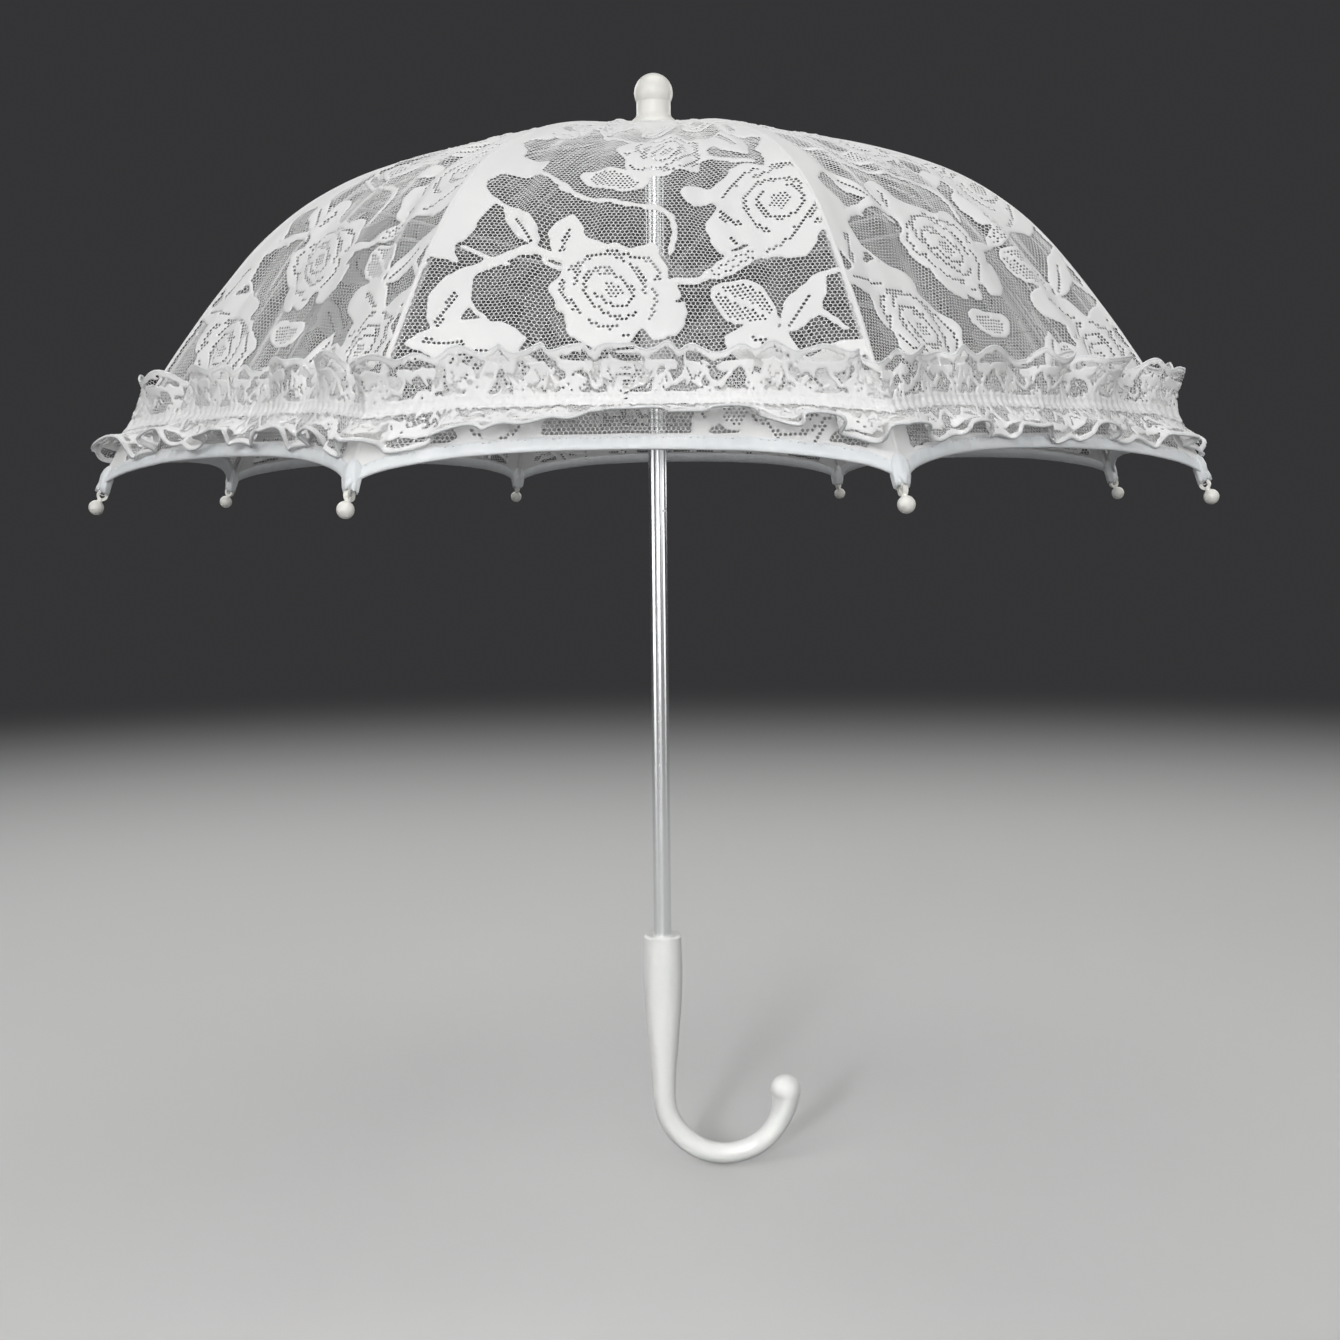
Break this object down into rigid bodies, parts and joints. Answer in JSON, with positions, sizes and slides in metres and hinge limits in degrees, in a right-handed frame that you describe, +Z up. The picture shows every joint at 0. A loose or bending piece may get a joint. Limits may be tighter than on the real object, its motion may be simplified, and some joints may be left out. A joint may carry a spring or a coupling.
{
  "type": "lace parasol",
  "caption": "Open lace parasol with a chromed tube shaft, folding ribs, a gathered lace ruffle above the hem and a plastic crook handle.",
  "frame": {"origin": "on the shaft's axis in the middle of the hand grip", "axes": "+Z up the shaft to the ferrule, +X towards the open side of the crook"},
  "size_m": [0.4574, 0.4574, 0.4924],
  "materials": {
    "chrome": "polished chromed steel tube",
    "handle_plastic": "satin moulded",
    "ivory_plastic": "satin moulded, slightly ivory",
    "white_plastic": "moulded",
    "steel": "bright spring steel",
    "painted_steel": "white enamelled wire",
    "lace": "rose lace on hexagonal net",
    "lace_trim": "gathered lace trim with corded edges"
  },
  "bodies": {
    "frame": {"shaft_tube": "chrome", "crook_handle": "handle_plastic", "ferrule": "ivory_plastic", "crown_nave": "white_plastic", "crown_wire": "steel", "top_washer": "white_plastic", "catch_pin": "steel"},
    "runner": {"runner": "white_plastic", "runner_wire": "steel"},
    "catch": {"top_catch": "steel"},
    "rib_body_1": {"rib_1": "painted_steel", "rivet_1": "steel", "tip_1": "ivory_plastic", "canopy_1": "lace", "ruffle_1": "lace_trim"},
    "stretcher_body_1": {"stretcher_1": "painted_steel"},
    "rib_body_2": {"rib_2": "painted_steel", "rivet_2": "steel", "tip_2": "ivory_plastic", "canopy_2": "lace", "ruffle_2": "lace_trim"},
    "stretcher_body_2": {"stretcher_2": "painted_steel"},
    "rib_body_3": {"rib_3": "painted_steel", "rivet_3": "steel", "tip_3": "ivory_plastic", "canopy_3": "lace", "ruffle_3": "lace_trim"},
    "stretcher_body_3": {"stretcher_3": "painted_steel"},
    "rib_body_4": {"rib_4": "painted_steel", "rivet_4": "steel", "tip_4": "ivory_plastic", "canopy_4": "lace", "ruffle_4": "lace_trim"},
    "stretcher_body_4": {"stretcher_4": "painted_steel"},
    "rib_body_5": {"rib_5": "painted_steel", "rivet_5": "steel", "tip_5": "ivory_plastic", "canopy_5": "lace", "ruffle_5": "lace_trim"},
    "stretcher_body_5": {"stretcher_5": "painted_steel"},
    "rib_body_6": {"rib_6": "painted_steel", "rivet_6": "steel", "tip_6": "ivory_plastic", "canopy_6": "lace", "ruffle_6": "lace_trim"},
    "stretcher_body_6": {"stretcher_6": "painted_steel"},
    "rib_body_7": {"rib_7": "painted_steel", "rivet_7": "steel", "tip_7": "ivory_plastic", "canopy_7": "lace", "ruffle_7": "lace_trim"},
    "stretcher_body_7": {"stretcher_7": "painted_steel"},
    "rib_body_8": {"rib_8": "painted_steel", "rivet_8": "steel", "tip_8": "ivory_plastic", "canopy_8": "lace", "ruffle_8": "lace_trim"},
    "stretcher_body_8": {"stretcher_8": "painted_steel"}
  },
  "joints": [
    {"name": "runner_slide", "type": "slide", "parent": "frame", "child": "runner", "axis": [0, 0, 1], "range_m": [-0.19426, 0]},
    {"name": "catch_press", "type": "hinge", "parent": "frame", "child": "catch", "pos_m": [0, 0, 0.2292], "axis": [0.6756, -0.7373, 0], "range_deg": [-2.8, 0], "stiffness_Nm_per_rad": 1, "springref_deg": 2.86},
    {"name": "rib_fold_1", "type": "hinge", "parent": "frame", "child": "rib_body_1", "pos_m": [0.00274, -0.00752, 0.389], "axis": [0.9397, 0.342, 0], "range_deg": [0, 55.4], "deforming": ["canopy_1", "ruffle_1"]},
    {"name": "stretcher_fold_1", "type": "hinge", "parent": "rib_body_1", "child": "stretcher_body_1", "pos_m": [0.04798, -0.13183, 0.35879], "axis": [0.9397, 0.342, 0], "range_deg": [-113.41, 0]},
    {"name": "rib_fold_2", "type": "hinge", "parent": "frame", "child": "rib_body_2", "pos_m": [0.00725, -0.00338, 0.389], "axis": [0.4226, 0.9063, 0], "range_deg": [0, 55.4], "deforming": ["canopy_2", "ruffle_2"]},
    {"name": "stretcher_fold_2", "type": "hinge", "parent": "rib_body_2", "child": "stretcher_body_2", "pos_m": [0.12715, -0.05929, 0.35879], "axis": [0.4226, 0.9063, 0], "range_deg": [-113.41, 0]},
    {"name": "rib_fold_3", "type": "hinge", "parent": "frame", "child": "rib_body_3", "pos_m": [0.00752, 0.00274, 0.389], "axis": [-0.342, 0.9397, 0], "range_deg": [0, 55.4], "deforming": ["canopy_3", "ruffle_3"]},
    {"name": "stretcher_fold_3", "type": "hinge", "parent": "rib_body_3", "child": "stretcher_body_3", "pos_m": [0.13183, 0.04798, 0.35879], "axis": [-0.342, 0.9397, 0], "range_deg": [-113.41, 0]},
    {"name": "rib_fold_4", "type": "hinge", "parent": "frame", "child": "rib_body_4", "pos_m": [0.00338, 0.00725, 0.389], "axis": [-0.9063, 0.4226, 0], "range_deg": [0, 55.4], "deforming": ["canopy_4", "ruffle_4"]},
    {"name": "stretcher_fold_4", "type": "hinge", "parent": "rib_body_4", "child": "stretcher_body_4", "pos_m": [0.05929, 0.12715, 0.35879], "axis": [-0.9063, 0.4226, 0], "range_deg": [-113.41, 0]},
    {"name": "rib_fold_5", "type": "hinge", "parent": "frame", "child": "rib_body_5", "pos_m": [-0.00274, 0.00752, 0.389], "axis": [-0.9397, -0.342, 0], "range_deg": [0, 55.4], "deforming": ["canopy_5", "ruffle_5"]},
    {"name": "stretcher_fold_5", "type": "hinge", "parent": "rib_body_5", "child": "stretcher_body_5", "pos_m": [-0.04798, 0.13183, 0.35879], "axis": [-0.9397, -0.342, 0], "range_deg": [-113.41, 0]},
    {"name": "rib_fold_6", "type": "hinge", "parent": "frame", "child": "rib_body_6", "pos_m": [-0.00725, 0.00338, 0.389], "axis": [-0.4226, -0.9063, 0], "range_deg": [0, 55.4], "deforming": ["canopy_6", "ruffle_6"]},
    {"name": "stretcher_fold_6", "type": "hinge", "parent": "rib_body_6", "child": "stretcher_body_6", "pos_m": [-0.12715, 0.05929, 0.35879], "axis": [-0.4226, -0.9063, 0], "range_deg": [-113.41, 0]},
    {"name": "rib_fold_7", "type": "hinge", "parent": "frame", "child": "rib_body_7", "pos_m": [-0.00752, -0.00274, 0.389], "axis": [0.342, -0.9397, 0], "range_deg": [0, 55.4], "deforming": ["canopy_7", "ruffle_7"]},
    {"name": "stretcher_fold_7", "type": "hinge", "parent": "rib_body_7", "child": "stretcher_body_7", "pos_m": [-0.13183, -0.04798, 0.35879], "axis": [0.342, -0.9397, 0], "range_deg": [-113.41, 0]},
    {"name": "rib_fold_8", "type": "hinge", "parent": "frame", "child": "rib_body_8", "pos_m": [-0.00338, -0.00725, 0.389], "axis": [0.9063, -0.4226, 0], "range_deg": [0, 55.4], "deforming": ["canopy_8", "ruffle_8"]},
    {"name": "stretcher_fold_8", "type": "hinge", "parent": "rib_body_8", "child": "stretcher_body_8", "pos_m": [-0.05929, -0.12715, 0.35879], "axis": [0.9063, -0.4226, 0], "range_deg": [-113.41, 0]}
  ],
  "couplings": [
    {"joint": "rib_fold_1", "follows": "runner_slide", "rad_per_m": -4.9773},
    {"joint": "stretcher_fold_1", "follows": "runner_slide", "rad_per_m": 10.188},
    {"joint": "rib_fold_2", "follows": "runner_slide", "rad_per_m": -4.9773},
    {"joint": "stretcher_fold_2", "follows": "runner_slide", "rad_per_m": 10.188},
    {"joint": "rib_fold_3", "follows": "runner_slide", "rad_per_m": -4.9773},
    {"joint": "stretcher_fold_3", "follows": "runner_slide", "rad_per_m": 10.188},
    {"joint": "rib_fold_4", "follows": "runner_slide", "rad_per_m": -4.9773},
    {"joint": "stretcher_fold_4", "follows": "runner_slide", "rad_per_m": 10.188},
    {"joint": "rib_fold_5", "follows": "runner_slide", "rad_per_m": -4.9773},
    {"joint": "stretcher_fold_5", "follows": "runner_slide", "rad_per_m": 10.188},
    {"joint": "rib_fold_6", "follows": "runner_slide", "rad_per_m": -4.9773},
    {"joint": "stretcher_fold_6", "follows": "runner_slide", "rad_per_m": 10.188},
    {"joint": "rib_fold_7", "follows": "runner_slide", "rad_per_m": -4.9773},
    {"joint": "stretcher_fold_7", "follows": "runner_slide", "rad_per_m": 10.188},
    {"joint": "rib_fold_8", "follows": "runner_slide", "rad_per_m": -4.9773},
    {"joint": "stretcher_fold_8", "follows": "runner_slide", "rad_per_m": 10.188}
  ]
}
